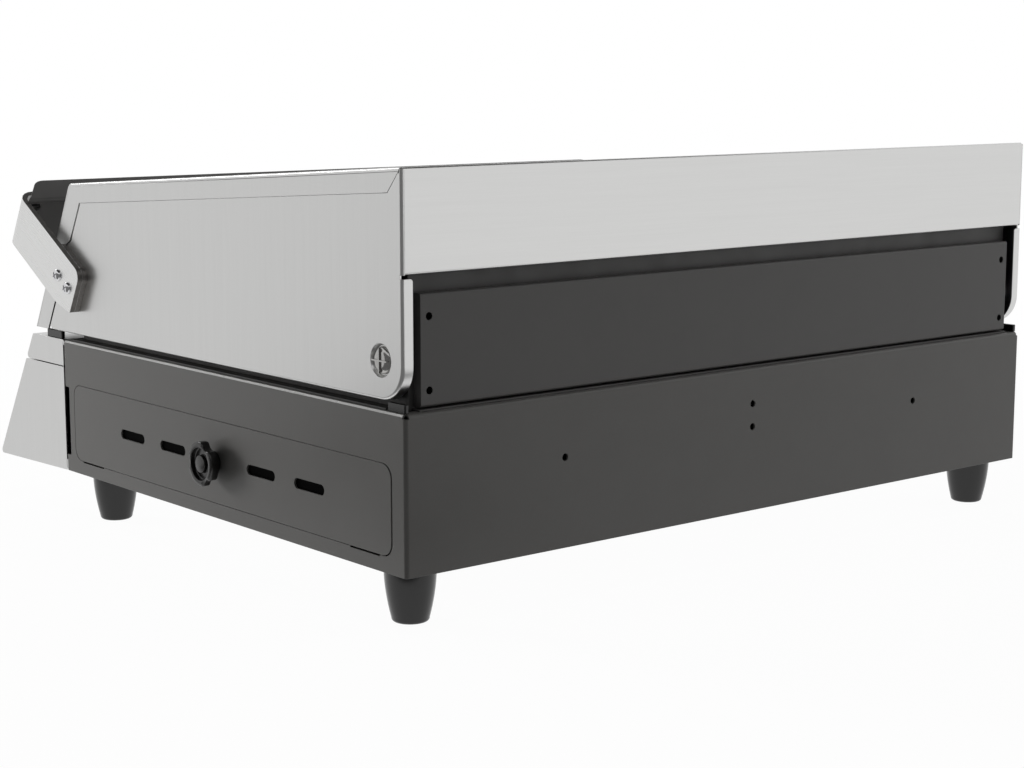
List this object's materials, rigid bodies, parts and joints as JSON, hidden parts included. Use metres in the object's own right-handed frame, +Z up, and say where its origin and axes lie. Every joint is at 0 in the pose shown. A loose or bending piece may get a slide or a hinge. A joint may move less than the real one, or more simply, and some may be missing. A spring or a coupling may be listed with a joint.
{
  "type": "electric grill",
  "caption": "Tabletop electric grill: painted steel base on tapered feet, stainless hinged lid with flat-bar handle, side grease tray with star knob, sloping control panel.",
  "frame": {"origin": "middle of the bounding box on the surface that the grill stands on", "axes": "+Z up; -Y is the front, where the control panel and the handle are; +X is the side with the grease tray"},
  "size_m": [0.6173, 0.543, 0.2809],
  "materials": {
    "painted_steel": "satin dark grey paint",
    "zinc_steel": "plain",
    "stainless": "brushed",
    "black_rubber": "matt",
    "black_plastic": "matt",
    "dark_paint": "satin near-black paint",
    "chrome": "polished",
    "black_enamel": "glossy black enamel",
    "firebox_steel": "heat-proof black enamel",
    "cast_iron": "seasoned",
    "element_sheath": "oxidised",
    "ceramic": "glazed",
    "brass": "plain",
    "lamp_red": "clear red"
  },
  "bodies": {
    "grill": {"base_shell": "painted_steel", "base_floor": "zinc_steel", "feet": "black_rubber", "foot_screws": "zinc_steel", "tray_rails": "zinc_steel", "control_panel": "stainless", "front_rail": "stainless", "heat_switch": "ceramic", "timer_switch": "ceramic", "dial_rings": "dark_paint", "pilot_lamp": "lamp_red", "power_inlet": "black_plastic", "inlet_pins": "brass", "inlet_screws": "zinc_steel", "firebox": "firebox_steel", "rear_cover": "dark_paint", "element_left": "element_sheath", "element_right": "element_sheath", "element_rests": "zinc_steel", "terminal_blocks": "ceramic", "grate_left": "cast_iron", "grate_right": "cast_iron", "lid_rests": "black_rubber", "hinge_bolts": "chrome", "hinge_bushes": "zinc_steel", "hinge_nuts": "zinc_steel"},
    "lid": {"lid_cover": "stainless", "lid_side_left": "stainless", "lid_side_right": "stainless", "handle_bar": "stainless", "handle_guard": "dark_paint", "handle_spacers": "stainless", "handle_screws": "chrome", "handle_nuts": "zinc_steel"},
    "tray": {"grease_tray": "black_enamel", "tray_sides": "black_enamel", "tray_ends": "black_enamel", "tray_face": "painted_steel", "tray_nut": "zinc_steel"},
    "star_knob": {"star_knob": "black_plastic", "star_stud": "zinc_steel"},
    "heat_knob": {"heat_knob": "black_plastic", "heat_shaft": "zinc_steel"},
    "timer_knob": {"timer_knob": "black_plastic", "timer_shaft": "zinc_steel"}
  },
  "joints": [
    {"name": "lid_hinge", "type": "hinge", "parent": "grill", "child": "lid", "pos_m": [-0.00085, 0.24746, 0.165], "axis": [-1, 0, 0], "range_deg": [0, 85]},
    {"name": "tray_slide", "type": "slide", "parent": "grill", "child": "tray", "axis": [1, 0, 0], "range_m": [0, 0.36]},
    {"name": "star_knob_turn", "type": "hinge", "parent": "tray", "child": "star_knob", "pos_m": [0.29615, 0.05566, 0.074], "axis": [1, 0, 0], "continuous": true},
    {"name": "heat_turn", "type": "hinge", "parent": "grill", "child": "heat_knob", "pos_m": [0.14915, -0.24609, 0.07617], "axis": [0, -0.8494, 0.5278], "range_deg": [-270, 0]},
    {"name": "timer_turn", "type": "hinge", "parent": "grill", "child": "timer_knob", "pos_m": [-0.15085, -0.24609, 0.07617], "axis": [0, -0.8494, 0.5278], "range_deg": [-300, 0]}
  ]
}
